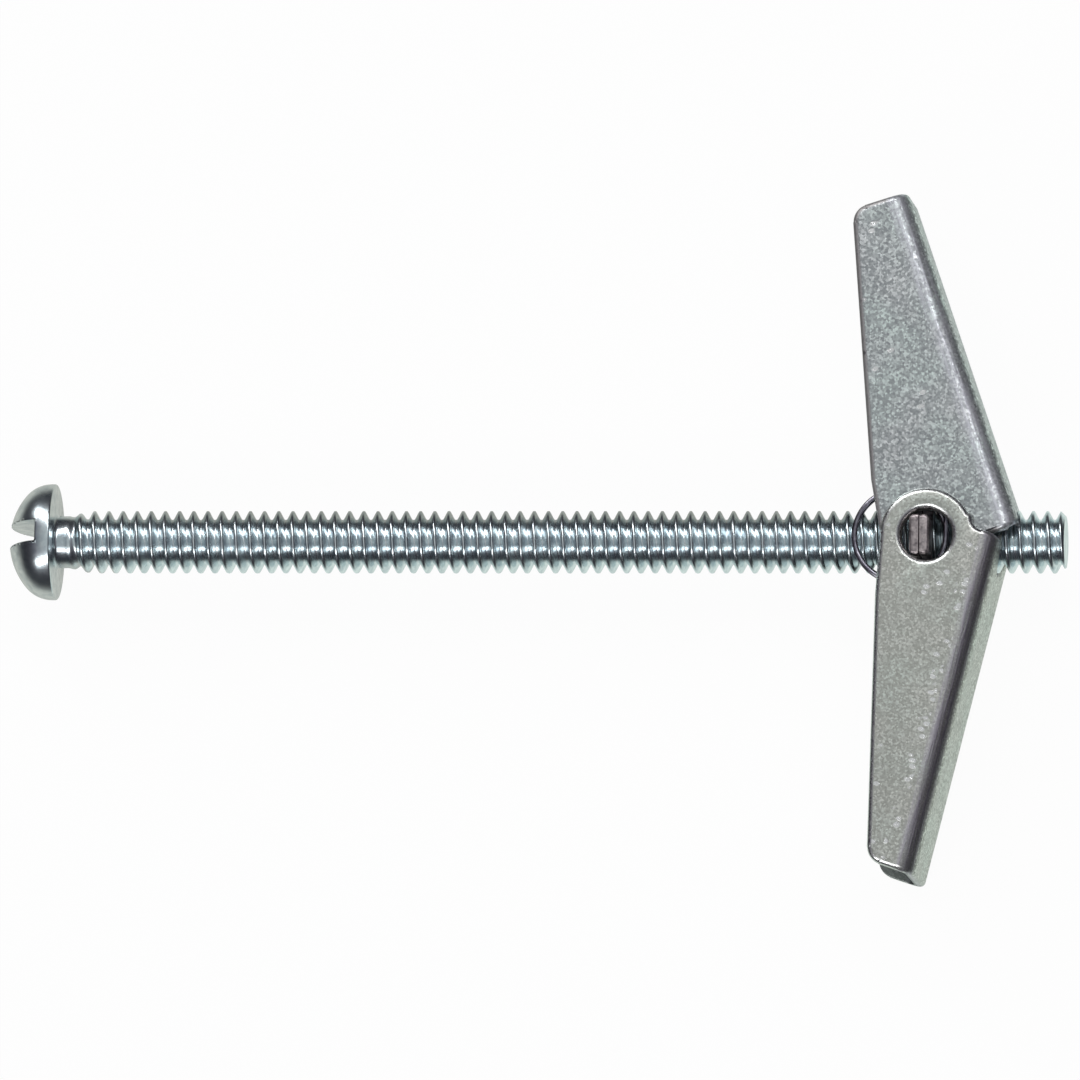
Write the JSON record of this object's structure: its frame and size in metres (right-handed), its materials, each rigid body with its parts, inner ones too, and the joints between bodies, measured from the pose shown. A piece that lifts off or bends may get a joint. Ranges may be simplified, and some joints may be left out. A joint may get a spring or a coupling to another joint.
{
  "type": "spring toggle bolt",
  "caption": "Hollow-wall anchor: slotted round-head machine screw with two spring-opened sheet-metal wings hinged on a folded trunnion nut.",
  "frame": {"origin": "centre of the screw head's flat bearing face", "axes": "+X along the screw from the head's bearing face to the thread end; +Z along the wings' hinge axis, up as the bolt lies; +Y towards the inner wing"},
  "size_m": [0.0785, 0.0509, 0.0098],
  "materials": {
    "screw": "bright zinc plate, rolled thread",
    "nut": "zinc-plated pressed strip",
    "wings": "zinc-coated pressed sheet with fine spangle",
    "spring": "oiled spring wire"
  },
  "bodies": {
    "screw": {"machine_screw": "screw"},
    "toggle": {"toggle_nut": "nut", "torsion_spring": "spring"},
    "inner_wing": {"inner_wing": "wings"},
    "outer_wing": {"outer_wing": "wings"}
  },
  "joints": [
    {"name": "toggle_travel", "type": "slide", "parent": "screw", "child": "toggle", "axis": [1, 0, 0], "range_m": [-0.038, 0.012]},
    {"name": "inner_wing_fold", "type": "hinge", "parent": "toggle", "child": "inner_wing", "pos_m": [0.0652, 0, 0], "axis": [0, 0, 1], "range_deg": [0, 77], "stiffness_Nm_per_rad": 0.012, "springref_deg": -20.05, "deforming": ["torsion_spring"]},
    {"name": "outer_wing_fold", "type": "hinge", "parent": "toggle", "child": "outer_wing", "pos_m": [0.0652, 0, 0], "axis": [0, 0, -1], "range_deg": [0, 80], "stiffness_Nm_per_rad": 0.012, "springref_deg": -20.05, "deforming": ["torsion_spring"]}
  ]
}
